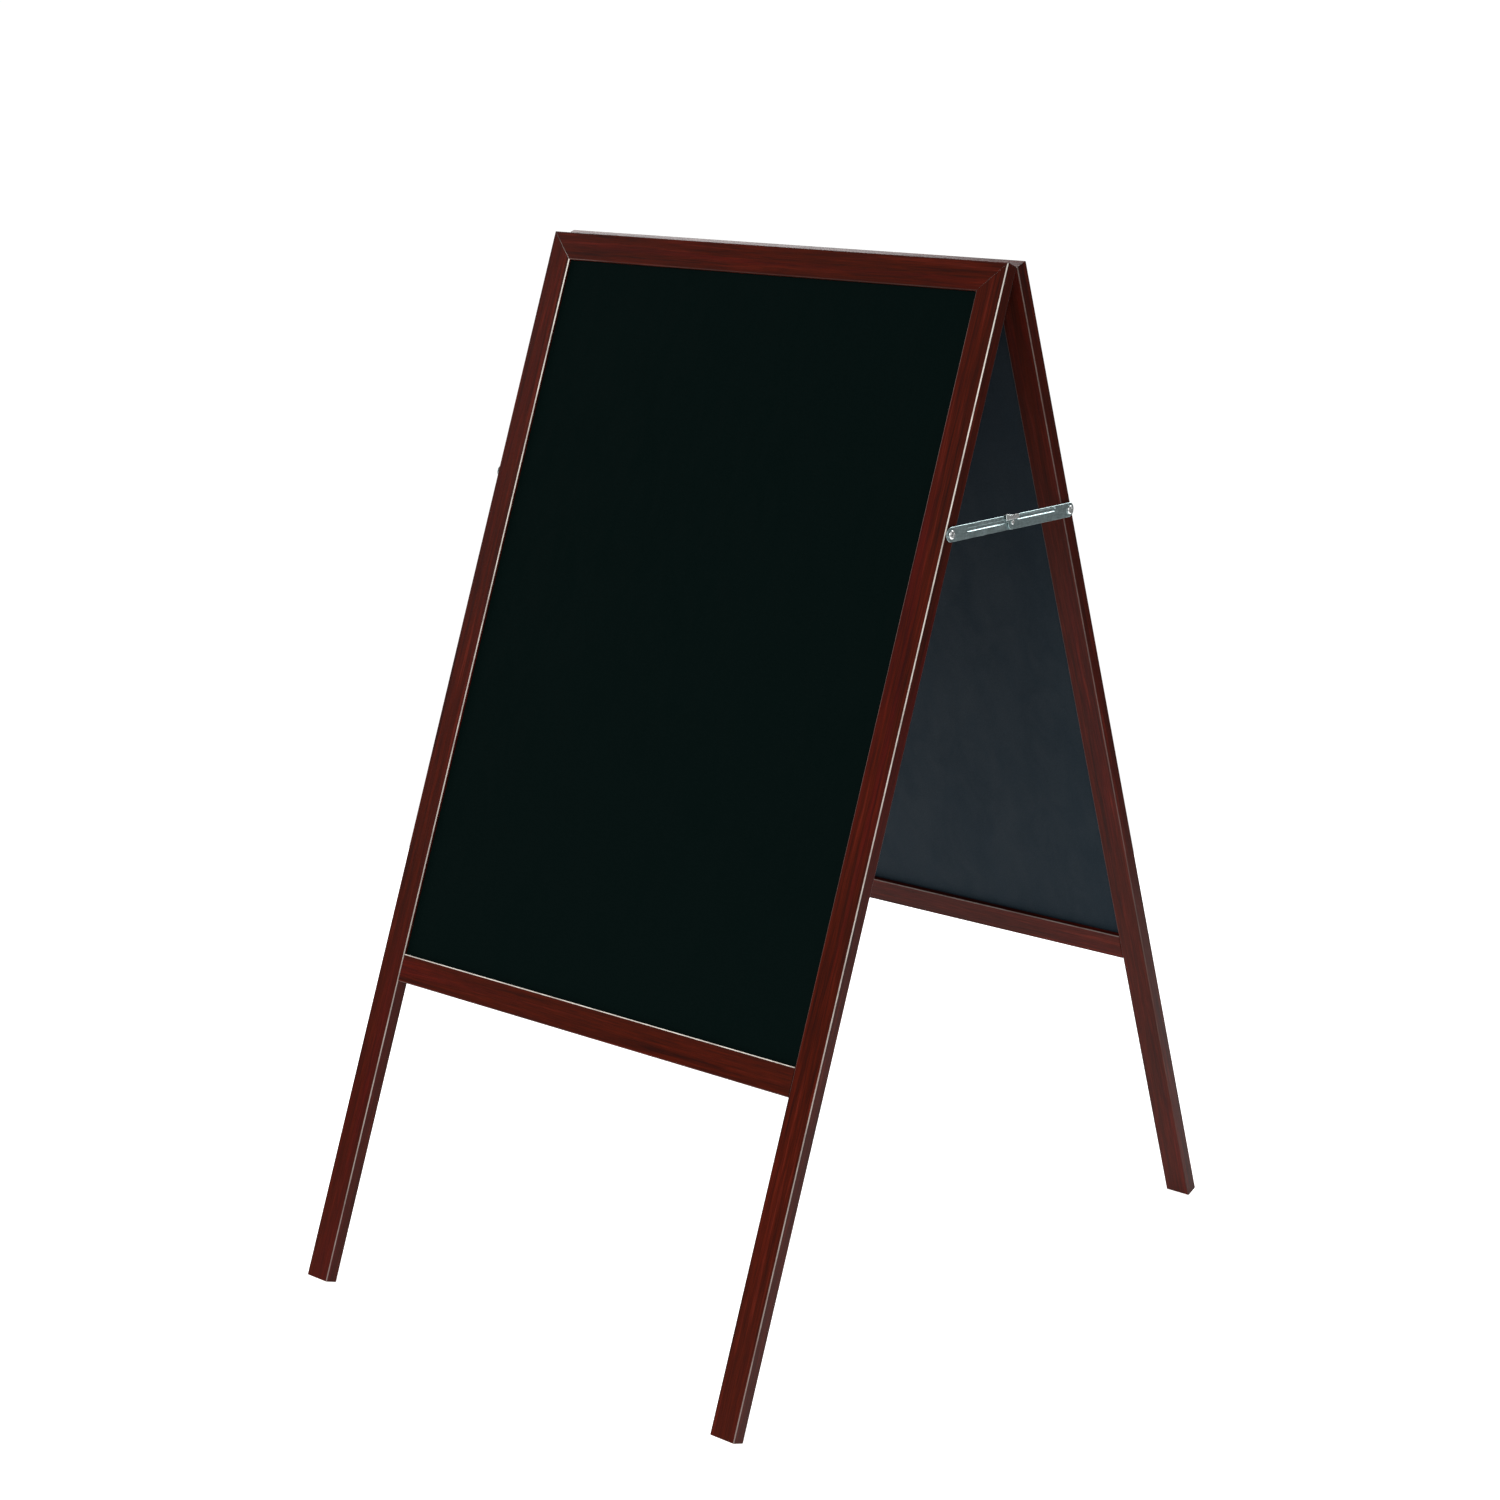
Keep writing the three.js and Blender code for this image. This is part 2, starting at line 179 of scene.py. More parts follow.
WOOD_SPECULAR = 0.06
# The colour of the painted highlights on the wood's rounded arrises.
ARRIS_HIGHLIGHT_COLOUR = srgb(252, 246, 236)


def mahogany():
    """Dark red-brown wood with fine streaks along the piece, and pale painted highlights along its rounded
    arrises.
    """
    graph = Graph("mahogany", Specular_IOR_Level=WOOD_SPECULAR)
    grain = graph.attribute("grain", "Vector")
    streaks = graph.noise(grain, (230, 230, 8), 4, 0.6, 0.4)
    fibres = graph.noise(grain, (1300, 1300, 45), 2, 0.6)
    bands = graph.noise(grain, (55, 55, 2.6), 2, 0.5, 0.6)
    tone = graph.noise(grain, (14, 14, 3.2), 1)
    colour = graph.ramp(streaks, [
        (0.28, srgb(32, 9, 6)),
        (0.45, srgb(56, 14, 5)),
        (0.58, srgb(67, 17, 6)),
        (0.74, srgb(92, 28, 17)),
    ])
    colour = graph.mix(graph.between(bands, 0.45, 0.75, 0, 0.55), colour, srgb(79, 13, 13))
    colour = graph.mix(graph.between(tone, 0.35, 0.7, 0, 0.5), colour, srgb(55, 18, 9))
    colour = graph.shade(colour, graph.between(fibres, 0.3, 0.7, 0.72, 1.2))
    # Painted highlight along the arrises, its strength wandering along the piece.
    highlight_wander = graph.between(graph.noise(grain, (20, 20, 26), 3, 0.7), 0.3, 0.62, 0.6, 1)
    painted_highlight = graph.maths("MULTIPLY", graph.attribute("painted_highlight", "Fac"), highlight_wander)
    graph.link(graph.mix(painted_highlight, colour, ARRIS_HIGHLIGHT_COLOUR), "Base Color")
    graph.link(graph.between(fibres, 0.3, 0.7, 0.38, 0.28), "Roughness")
    graph.bump(graph.maths("ADD", fibres, streaks), 0.02 * MM)
    return graph.material


def board(name, colour, dust, dust_share, specular):
    """Matt chalkboard paint with a faint haze of wiped chalk and a fine sprayed texture."""
    graph = Graph(name, Specular_IOR_Level=specular)
    place = graph.object_place()
    haze = graph.noise(place, (5, 5, 3), 4, 0.6, 1.2)
    wipes = graph.noise(place, (30, 30, 9), 5, 0.7, 0.8)
    specks = graph.noise(place, (900, 900, 900), 2, 0.6)
    chalk = graph.maths("MULTIPLY", graph.between(haze, 0.4, 0.75), graph.between(wipes, 0.35, 0.75))
    chalk = graph.maths("MULTIPLY", chalk, dust_share)
    toned = graph.mix(graph.between(specks, 0.35, 0.7, 0, 0.3), colour, dust)
    graph.link(graph.mix(chalk, toned, dust), "Base Color")
    graph.link(graph.between(wipes, 0.3, 0.7, 0.62, 0.78), "Roughness")
    graph.bump(specks, 0.03 * MM, 0.6)
    return graph.material


def zinc():
    """Zinc-plated strip steel, drawn along its length, with cloudy grey-green plating."""
    graph = Graph("zinc", Metallic=1)
    place = graph.object_place()
    clouds = graph.noise(place, (260, 260, 260), 3, 0.6, 0.5)
    drawn = graph.noise(place, (900, 70, 2600), 2, 0.6)
    colour = graph.ramp(clouds, [(0.3, (0.29, 0.39, 0.40, 1)), (0.7, (0.46, 0.57, 0.58, 1))])
    graph.link(graph.shade(colour, graph.between(drawn, 0.3, 0.7, 0.8, 1.12)), "Base Color")
    graph.link(graph.between(clouds, 0.3, 0.7, 0.3, 0.44), "Roughness")
    graph.bump(drawn, 0.01 * MM)
    return graph.material


def bright_steel():
    """Bright plated steel with small clouded patches."""
    graph = Graph("bright_steel", Metallic=1)
    place = graph.object_place()
    clouds = graph.noise(place, (520, 520, 520), 3, 0.6)
    colour = graph.ramp(clouds, [(0.3, (0.76, 0.79, 0.79, 1)), (0.7, (0.93, 0.94, 0.93, 1))])
    graph.link(colour, "Base Color")
    graph.link(graph.between(clouds, 0.3, 0.7, 0.22, 0.34), "Roughness")
    graph.bump(clouds, 0.004 * MM)
    return graph.material


def washer_steel_painted_shade():
    """Plated steel painted dark as painted shade for the dark ring round the stay screws' heads, with faint
    clouding.
    """
    graph = Graph("washer_steel_painted_shade", Metallic=1)
    clouds = graph.noise(graph.object_place(), (700, 700, 700), 3, 0.6)
    colour = graph.ramp(clouds, [(0.3, (0.10, 0.11, 0.11, 1)), (0.7, (0.20, 0.22, 0.22, 1))])
    graph.link(colour, "Base Color")
    graph.link(graph.between(clouds, 0.3, 0.7, 0.3, 0.45), "Roughness")
    graph.bump(clouds, 0.006 * MM)
    return graph.material


def beech():
    """Pale dowel wood with short brown flecks."""
    graph = Graph("beech", Specular_IOR_Level=0.3)
    place = graph.object_place()
    flecks = graph.noise(place, (900, 2200, 2200), 3, 0.6)
    colour = graph.ramp(flecks, [(0.35, srgb(158, 116, 74)), (0.6, srgb(206, 172, 126))])
    graph.link(colour, "Base Color")
    graph.link(graph.between(flecks, 0.3, 0.7, 0.8, 0.6), "Roughness")
    graph.bump(flecks, 0.03 * MM)
    return graph.material


MAHOGANY = mahogany()
BOARD_OUTSIDE = board("board_outside", srgb(3, 12, 11), srgb(8, 18, 17), 0.2, 0.01)
# The inner faces carry the same black paint as the outer ones, painted lighter and bluer as painted light
# from the bright floor, with its chalk haze.
BOARD_INSIDE_FLOOR_LIT = board("board_inside_floor_lit", srgb(16, 28, 36), srgb(36, 47, 55), 0.3, 0.1)
ZINC = zinc()
STEEL = bright_steel()
# Dark steel for the washers: painted shade round the stay screws' heads.
WASHER_STEEL_PAINTED_SHADE = washer_steel_painted_shade()
BEECH = beech()

# ---- Leaf frames ----

fold = next(joint for joint in frame["joints"] if joint["name"] == "fold")
HALF_ANGLE = math.radians(-fold["range_deg"][0] / 2)
TURNS = {"front": math.pi, "back": 0}
LEAF_TO_WORLD = {
    leaf: Matrix.Translation(fold["pos_m"])
    @ Matrix.Rotation(turn, 4, "Z")
    @ Matrix.Rotation(HALF_ANGLE, 4, "X")
    for leaf, turn in TURNS.items()
}
SIDES = {"left": -1, "right": 1}


def box_in(matrix, node):
    """Lowest and highest corner of a CAD node in the axes that matrix takes to the world."""
    inverse = matrix.inverted()
    points = [inverse @ vertex.co for vertex in frame["nodes"][node].data.vertices]
    low = Vector(min(point[axis] for point in points) for axis in range(3))
    high = Vector(max(point[axis] for point in points) for axis in range(3))
    return low, high


# ---- Making pieces ----


def finish_piece(name, shape, matrix, materials, node):
    """Turns a shape in local axes into a piece that rides with its CAD node and stands for it."""
    shape.transform(matrix)
    mesh = bpy.data.meshes.new(name)
    shape.to_mesh(mesh)
    shape.free()
    for material in materials:
        mesh.materials.append(material)
    made = bpy.data.objects.new(name, mesh)
    bpy.context.scene.collection.objects.link(made)
    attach(made, frame["nodes"][node]["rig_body"])
    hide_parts(node)
    return made


WELD = 0.002 * MM
FLAT = math.radians(0.5)


def cad_shape(node, matrix):
    """A CAD node's solid in local axes, with its flat faces whole."""
    shape = bmesh.new()
    shape.from_mesh(frame["nodes"][node].data)
    shape.transform(matrix.inverted())
    bmesh.ops.remove_doubles(shape, verts=shape.verts, dist=WELD)
    bmesh.ops.dissolve_limit(shape, angle_limit=FLAT, verts=shape.verts, edges=shape.edges)
    return shape


def round_edges(shape, radius, segments):
    made = bmesh.ops.bevel(
        shape, geom=list(shape.edges), offset=radius, segments=segments, profile=0.5,
        affect="EDGES", clamp_overlap=False,
    )
    for face in made["faces"]:
        face.smooth = True


def lofted(loops):
    """A closed solid through rings of points with as many points each, capped at both ends."""
    shape = bmesh.new()
    rings = [[shape.verts.new(point) for point in loop] for loop in loops]
    for low, high in zip(rings, rings[1:]):
        for i in range(len(low)):
            j = (i + 1) % len(low)
            shape.faces.new((low[i], low[j], high[j], high[i])).smooth = True
    shape.faces.new(list(reversed(rings[0])))
    shape.faces.new(rings[-1])
    bmesh.ops.recalc_face_normals(shape, faces=shape.faces)
    return shape


TURNED_SIDES = 40


def turned_rings(shape, profile):
    """A ring of vertices about Z for each (radius, height) point."""
    angles = [2 * math.pi * i / TURNED_SIDES for i in range(TURNED_SIDES)]
    return [
        [shape.verts.new((radius * math.cos(a), radius * math.sin(a), height)) for a in angles]
        for radius, height in profile
    ]


def turned(profile):
    """A solid turned about Z from (radius, height) points that start and end on the axis."""
    shape = bmesh.new()
    ends = [shape.verts.new((0, 0, height)) for _, height in (profile[0], profile[-1])]
    rings = turned_rings(shape, profile[1:-1])
    for i in range(TURNED_SIDES):
        j = (i + 1) % TURNED_SIDES
        shape.faces.new((ends[0], rings[0][j], rings[0][i]))
        for low, high in zip(rings, rings[1:]):
            shape.faces.new((low[i], low[j], high[j], high[i]))
        shape.faces.new((ends[1], rings[-1][i], rings[-1][j]))
    for face in shape.faces:
        face.smooth = True
    bmesh.ops.recalc_face_normals(shape, faces=shape.faces)
    return shape


def ring(inner, outer, low, high, soft):
    """A washer or tube about Z whose outer edges are softened."""
    profile = [
        (inner, low), (outer - soft, low), (outer, low + soft),
        (outer, high - soft), (outer - soft, high), (inner, high),
    ]
    shape = bmesh.new()
    rings = turned_rings(shape, profile)
    for low_ring, high_ring in zip(rings, rings[1:] + rings[:1]):
        for i in range(TURNED_SIDES):
            j = (i + 1) % TURNED_SIDES
            shape.faces.new((low_ring[i], low_ring[j], high_ring[j], high_ring[i])).smooth = True
    bmesh.ops.recalc_face_normals(shape, faces=shape.faces)
    return shape


def box_shape(low, high):
    shape = bmesh.new()
    bmesh.ops.create_cube(shape, size=1)
    size = Vector(high) - Vector(low)
    shape.transform(Matrix.Translation((Vector(low) + Vector(high)) / 2) @ Matrix.Diagonal((*size, 1)))
    return shape


def carve(shape, tools, operation="DIFFERENCE"):
    """shape with the tools cut away, or joined on."""
    def temporary(solid):
        mesh = bpy.data.meshes.new("tool")
        solid.to_mesh(mesh)
        solid.free()
        made = bpy.data.objects.new("tool", mesh)
        bpy.context.scene.collection.objects.link(made)
        return made

    base = temporary(shape)
    cutters = [temporary(tool) for tool in tools]
    for cutter in cutters:
        change = base.modifiers.new("carve", "BOOLEAN")
        change.operation, change.solver, change.object = operation, "EXACT", cutter
    bpy.context.view_layer.update()
    evaluated = base.evaluated_get(bpy.context.evaluated_depsgraph_get())
    result = bmesh.new()
    result.from_mesh(evaluated.to_mesh())
    for made in (base, *cutters):
        mesh = made.data
        bpy.data.objects.remove(made)
        bpy.data.meshes.remove(mesh)
    return result


CREASE = math.radians(32)


def crease(piece):
    """Shades the piece smooth, apart from edges that turn more than CREASE."""
    piece.data.shade_smooth()
    piece.data.set_sharp_from_angle(angle=CREASE)


# ---- Wooden frame ----

ARRIS = 1.2 * MM
ARRIS_POINTS = 6
END_CHAMFER = 0.5 * MM
SHY = 0.02 * MM  # how far a prism stops short of the CAD solid that it is cut by
NEAR = 0.01 * MM  # what still counts as the same place
SQUARE_ON = 0.9999  # cosine above which a face looks along an axis
MITRE_CHAMFER = 0.3 * MM
GRAIN_STEP = Vector((0.37, 0.53, 2.9))  # between one piece's grain and the next one's
# The faces are sliced so that the painted highlight on the arrises can change along a member.
SLICE = 90 * MM  # about how long a member's faces are, so that its rub can change along it

# How strong each long arris's painted highlight is, by which way its side face and its broad face look.
STILE_HIGHLIGHT = {(-1, "outer"): 1, (1, "outer"): 0.1, (1, "inner"): 0.13, (-1, "inner"): 0.06}
BOTTOM_RAIL_HIGHLIGHT = {(1, "outer"): 1, (-1, "outer"): 0.06, (1, "inner"): 0.2, (-1, "inner"): 0.03}
TOP_RAIL_HIGHLIGHT = {(1, "outer"): 0, (-1, "outer"): 0.02, (1, "inner"): 0.3, (-1, "inner"): 0.06}
HIGHLIGHT_SHARES = {"stile": STILE_HIGHLIGHT, "bottom_rail": BOTTOM_RAIL_HIGHLIGHT, "top_rail": TOP_RAIL_HIGHLIGHT}
# How far the painted highlight reaches round a rounded arris, and how soft its edge is.
HIGHLIGHT_REACH, HIGHLIGHT_FADE = 0.92 * ARRIS, 0.3 * ARRIS  # from the sharp corner that the rounding takes off
# How pale a stile's lower end face is painted.
FOOT_PALE = 0.4  # round a stile's lower end
# Share of a stile's painted highlight that is left at its foot.
LOW_HIGHLIGHT = 0.15  # share of a stile's rub that is left at its foot
# Painted highlight along the mitre at each side of the leaf.
MITRE_HIGHLIGHT = {-1: 0, 1: 0.2}  # along the mitre at each side of the leaf
# Whether a member is mitred at its low end and at its high end.
MITRED = {"stile": (False, True), "top_rail": (True, True), "bottom_rail": (False, False)}


class Member:
    """A stile or rail in its leaf's axes, with the axis along its grain and the one across its face."""

    def __init__(self, leaf, node):
        self.node = node
        self.matrix = LEAF_TO_WORLD[leaf]
        self.kind = "stile" if "stile" in node else node.split("_", 1)[1]
        self.along = 2 if self.kind == "stile" else 0
        self.across = 2 - self.along
        self.low, self.high = box_in(self.matrix, node)
        self.middle = (self.low + self.high) / 2
        self.leaf_top = box_in(self.matrix, f"{leaf}_top_rail")[1].z

    def at(self, across, depth, along):
        point = Vector((0, depth, 0))
        point[self.across], point[self.along] = across, along
        return point

    def section(self, along, inset=0):
        """The member's outline across its length, with round corners."""
        radius = ARRIS - inset
        a = (self.low[self.across] + ARRIS, self.high[self.across] - ARRIS)
        d = (self.low.y + ARRIS, self.high.y - ARRIS)
        corners = [(a[1], d[1]), (a[0], d[1]), (a[0], d[0]), (a[1], d[0])]
        points = []
        for turn, (middle_a, middle_d) in enumerate(corners):
            for i in range(ARRIS_POINTS):
                angle = math.pi / 2 * (turn + i / (ARRIS_POINTS - 1))
                across, depth = middle_a + radius * math.cos(angle), middle_d + radius * math.sin(angle)
                points.append(self.at(across, depth, along))
        return points

    def prism(self):
        """The whole member before its grooves and holes, run past the ends that are mitred."""
        starts, ends = MITRED[self.kind]
        low = self.low[self.along] + (-PAST if starts else SHY)
        high = self.high[self.along] + (PAST if ends else -SHY)
        shape = lofted([
            self.section(low, END_CHAMFER),
            self.section(low + END_CHAMFER),
            self.section(high - END_CHAMFER),
            self.section(high, END_CHAMFER),
        ])
        for face in shape.faces:
            face.smooth = max(abs(part) for part in face.normal) <= SQUARE_ON
        return shape

    def cad_solid(self):
        """The CAD solid, grown by SHY across its section so that only its cuts meet the prism."""
        shape = cad_shape(self.node, self.matrix)
        size = self.high - self.low
        grow = [1 + 2 * SHY / size[axis] if axis != self.along else 1 for axis in range(3)]
        place = Matrix.Translation(self.middle)
        shape.transform(place @ Matrix.Diagonal((*grow, 1)) @ place.inverted())
        for face in shape.faces:
            face.smooth = False
        return shape

    def mitre_corners(self):
        """(outer corner, inner corner, side) of each mitre line on the outer face."""
        width = self.high[self.across] - self.low[self.across]
        corners = []
        for side in (-1, 1):
            edge = self.high.x if side > 0 else self.low.x
            if self.kind == "stile":
                near_side = self.low.x > 0 if side > 0 else self.high.x < 0
            else:
                near_side = self.kind == "top_rail"
            if near_side:
                outer = Vector((edge, self.high.y, self.leaf_top))
                corners.append((outer, outer + Vector((-side * width, 0, -width)), side))
        return corners

    def mitre_chamfer(self, outer, inner):
        """A wedge along a mitre line, which takes the sharp edges off both sides of the joint."""
        run = (inner - outer).normalized()
        aside = Vector((run.z, 0, -run.x)) * MITRE_CHAMFER
        loops = []
        for point in (outer - run * PAST, inner + run * PAST):
            sink, rise = Vector((0, -MITRE_CHAMFER, 0)), Vector((0, MITRE_CHAMFER, 0))
            loops.append([point + sink, point + aside * 2 + rise, point - aside * 2 + rise])
        return lofted(loops)

    def highlight_share(self, point):
        """How pale a point is painted: 0 on the flat faces, and its arris's share of painted highlight in the
        middle of a rounding.
        """
        best = 0
        for (side, face), share in HIGHLIGHT_SHARES[self.kind].items():
            corner_across = (self.high if side > 0 else self.low)[self.across]
            corner_depth = self.high.y if face == "outer" else self.low.y
            distance = math.hypot(point[self.across] - corner_across, point.y - corner_depth)
            inside = min(1, max(0, (HIGHLIGHT_REACH - distance) / HIGHLIGHT_FADE))
            if self.kind == "stile":
                share *= LOW_HIGHLIGHT + (1 - LOW_HIGHLIGHT) * (point.z - self.low.z) / (self.high.z - self.low.z)
            best = max(best, share * inside)
        if self.kind == "stile" and point.z < self.low.z + SHY + NEAR:
            best = max(best, FOOT_PALE)
        for outer, inner, side in self.mitre_corners():
            run = (inner - outer).normalized()
            off_line = (point - outer).cross(run)
            sunk = self.high.y - point.y
            if abs(off_line.y) < MITRE_CHAMFER / 2 and NEAR < sunk < MITRE_CHAMFER:
                best = max(best, MITRE_HIGHLIGHT[side])
        return best

    def slice(self, shape):
        """Cuts the faces across the grain, about every SLICE."""
        slices = int((self.high[self.along] - self.low[self.along]) / SLICE)
        for i in range(1, slices):
            place = self.low.lerp(self.high, i / slices)
            geometry = [*shape.verts, *shape.edges, *shape.faces]
            normal = self.at(0, 0, 1)
            bmesh.ops.bisect_plane(shape, geom=geometry, plane_co=place, plane_no=normal, dist=NEAR)

    def make(self, index):
        shape = carve(self.prism(), [self.cad_solid()], "INTERSECT")
        wedges = [self.mitre_chamfer(outer, inner) for outer, inner, _ in self.mitre_corners()]
        if wedges:
            shape = carve(shape, wedges)
        self.slice(shape)
        grain = shape.verts.layers.float_vector.new("grain")
        # Each vertex's share of painted highlight, which the wood shader mixes towards the pale colour.
        painted_highlight = shape.verts.layers.float.new("painted_highlight")
        for vertex in shape.verts:
            place = vertex.co - self.middle
            along_grain = Vector((place[self.across], place.y, place[self.along]))
            vertex[grain] = along_grain + GRAIN_STEP * index
            vertex[painted_highlight] = self.highlight_share(vertex.co)
        finish_piece(f"{self.node}_shaped", shape, self.matrix, [MAHOGANY], self.node)


MEMBERS = ["stile_left", "stile_right", "top_rail", "bottom_rail"]


def make_frames():
    for leaf_index, leaf in enumerate(LEAF_TO_WORLD):
        for index, member in enumerate(MEMBERS):
            Member(leaf, f"{leaf}_{member}").make(len(MEMBERS) * leaf_index + index)


# ---- Boards ----

BOARD_EDGE = 0.4 * MM


def make_board(leaf):
    matrix = LEAF_TO_WORLD[leaf]
    node = f"{leaf}_panel"
    shape = box_shape(*box_in(matrix, node))
    round_edges(shape, BOARD_EDGE, 2)
    shape.normal_update()
    for face in shape.faces:
        # Faces looking inwards take the floor-lit copy of the board paint: painted light.
        face.material_index = 1 if face.normal.y < -0.5 else 0
    finish_piece(f"{node}_painted", shape, matrix, [BOARD_OUTSIDE, BOARD_INSIDE_FLOOR_LIT], node)


# ---- Stays ----

LINK_EDGE = 0.25 * MM
GROOVE = {"start": 28 * MM, "end": 93 * MM, "radius": 1.4 * MM, "depth": 0.8 * MM, "slope": 0.8 * MM}
GROOVE_RISE = {"front": 1.4 * MM, "back": 3.8 * MM}
HOLE_RADIUS = 2.1 * MM
KNEE_HOLE_RADIUS = 1.58 * MM
END_POINTS = 25


def slot_loop(y0, y1, z, radius, x):
    """A ring of points round a slot with half-round ends centred on y0 < y1, at a given x."""
    points = []
    for centre, start in ((y1, -math.pi / 2), (y0, math.pi / 2)):
        for i in range(END_POINTS):
            angle = start + math.pi * i / (END_POINTS - 1)
            points.append((x, centre + radius * math.cos(angle), z + radius * math.sin(angle)))
    return points


def rod_shape(radius, low, high, y, z):
    """A round rod along X."""
    shape = turned([(0, low), (radius, low), (radius, high), (0, high)])
    shape.transform(Matrix.Translation((0, y, z)) @ Matrix.Rotation(math.pi / 2, 4, "Y"))
    return shape


def make_link(side_name, end):
    """A strip with rounded ends and edges, and a groove pressed into its outer face."""
    side = SIDES[side_name]
    node = f"stay_{side_name}_link_{end}"
    low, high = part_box(node)
    z, radius = (low.z + high.z) / 2, (high.z - low.z) / 2
    y0, y1 = low.y + radius, high.y - radius
    screw_y, knee_y = (y0, y1) if end == "front" else (y1, y0)
    inner, outer = (low.x, high.x) if side > 0 else (high.x, low.x)
    toward = math.copysign(1, knee_y - screw_y)
    groove = sorted(screw_y + toward * GROOVE[place] for place in ("start", "end"))
    groove_z = z + GROOVE_RISE[end]
    loops = [
        slot_loop(y0, y1, z, radius - LINK_EDGE, inner),
        slot_loop(y0, y1, z, radius, inner + side * LINK_EDGE),
        slot_loop(y0, y1, z, radius, outer - side * LINK_EDGE),
        slot_loop(y0, y1, z, radius - LINK_EDGE, outer),
        slot_loop(*groove, groove_z, GROOVE["radius"] + GROOVE["slope"], outer),
        slot_loop(*groove, groove_z, GROOVE["radius"], outer - side * GROOVE["depth"]),
    ]
    x = sorted((inner - side * PAST, outer + side * PAST))
    holes = [rod_shape(HOLE_RADIUS, *x, screw_y, z), rod_shape(KNEE_HOLE_RADIUS, *x, knee_y, z)]
    made = finish_piece(f"{node}_pressed", carve(lofted(loops), holes), Matrix(), [ZINC], node)
    crease(made)


HEAD_POINTS = 10
PAN = {"foot": 0.96, "foot_height": 0.08, "rim": 0.3, "fullness": 0.6}  # shares of radius and height
THREAD = {"pitch": 1.25 * MM, "depth": 0.45 * MM}
STAY_SHANK = {"radius": 1.9 * MM, "point": 4 * MM}
HEAD_HEIGHT = 2 * MM
STAY_RECESS = {"half": 2.5 * MM, "width": 1.0 * MM, "depth": 1.5 * MM, "taper": 0.45}


def cross_shape(recess, top):
    """A tapered cross to cut from a screw head whose top is at the given height."""
    def corners(scale, height):
        a, b = recess["half"] * scale, recess["width"] / 2 * (0.5 + scale / 2)
        quarter = [(a, -b), (a, b), (b, b)]
        points = []
        for turn in range(4):
            for x, y in quarter:
                for _ in range(turn):
                    x, y = -y, x
                points.append((x, y, height))
        return points

    bottom = corners(recess["taper"], top - recess["depth"])
    shape = lofted([bottom, corners(1, top), corners(1, top + PAST)])
    for face in shape.faces:
        face.smooth = False
    return shape


def threaded_profile(tip, seat, radius, point):
    """(radius, height) points of a wood screw's shank from its tip up to its head's seat."""
    profile = [(0, tip)]
    height = tip + THREAD["pitch"]
    while height < seat - 2 * THREAD["pitch"]:
        reach = min(1, (height - tip) / point)
        profile.append(((radius - THREAD["depth"]) * reach, height - THREAD["pitch"] / 3))
        profile.append((radius * reach, height))
        profile.append(((radius - THREAD["depth"]) * reach, height + THREAD["pitch"] / 3))
        height += THREAD["pitch"]
    return profile + [(radius, seat - THREAD["pitch"]), (radius, seat)]


def pan_head(radius, height, seat):
    """(radius, height) points of a head with a short upright rim and a crowned top."""
    profile = [(radius * PAN["foot"], seat), (radius, seat + height * PAN["foot_height"])]
    for i in range(HEAD_POINTS):
        angle = math.pi / 2 * i / HEAD_POINTS
        rise = PAN["rim"] + (1 - PAN["rim"]) * math.sin(angle)
        profile.append((radius * math.cos(angle) ** PAN["fullness"], seat + height * rise))
    return profile + [(0, seat + height)]


def along_x(side, x, y, z, spin=0):
    """Takes a shape turned about Z, its head upwards, to one that points out of the given side at x, y, z."""
    return (
        Matrix.Translation((x, y, z))
        @ Matrix.Rotation(side * math.pi / 2, 4, "Y")
        @ Matrix.Rotation(spin, 4, "Z")
    )


SCREW_SPIN = {"front": math.radians(22), "back": math.radians(58)}


def make_stay_screw(side_name, leaf):
    side = SIDES[side_name]
    node = f"stay_{side_name}_screw_{leaf}"
    low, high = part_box(node)
    radius, length = (high.z - low.z) / 2, high.x - low.x
    seat = length - HEAD_HEIGHT
    profile = threaded_profile(0, seat, STAY_SHANK["radius"], STAY_SHANK["point"])
    body = turned(profile + pan_head(radius, HEAD_HEIGHT, seat))
    cross = cross_shape(STAY_RECESS, length)
    tip = low.x if side > 0 else high.x
    matrix = along_x(side, tip, (low.y + high.y) / 2, (low.z + high.z) / 2, SCREW_SPIN[leaf])
    made = finish_piece(f"{node}_turned", carve(body, [cross]), matrix, [STEEL], node)
    crease(made)


WASHER_BORE = 2.15 * MM
SOFT_EDGE = 0.12 * MM


def make_washer(side_name, leaf):
    side = SIDES[side_name]
    node = f"stay_{side_name}_washer_{leaf}"
    low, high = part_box(node)
    shape = ring(WASHER_BORE, (high.z - low.z) / 2, 0, high.x - low.x, SOFT_EDGE)
    matrix = along_x(side, low.x if side > 0 else high.x, (low.y + high.y) / 2, (low.z + high.z) / 2)
    # The washer's dark steel is painted shade round the screw head.
    crease(finish_piece(f"{node}_turned", shape, matrix, [WASHER_STEEL_PAINTED_SHADE], node))


RIVET_SHANK = 1.48 * MM
RIVET_HEAD_HEIGHT = 1 * MM
RIVET_TAIL_FLANGE = 0.45 * MM


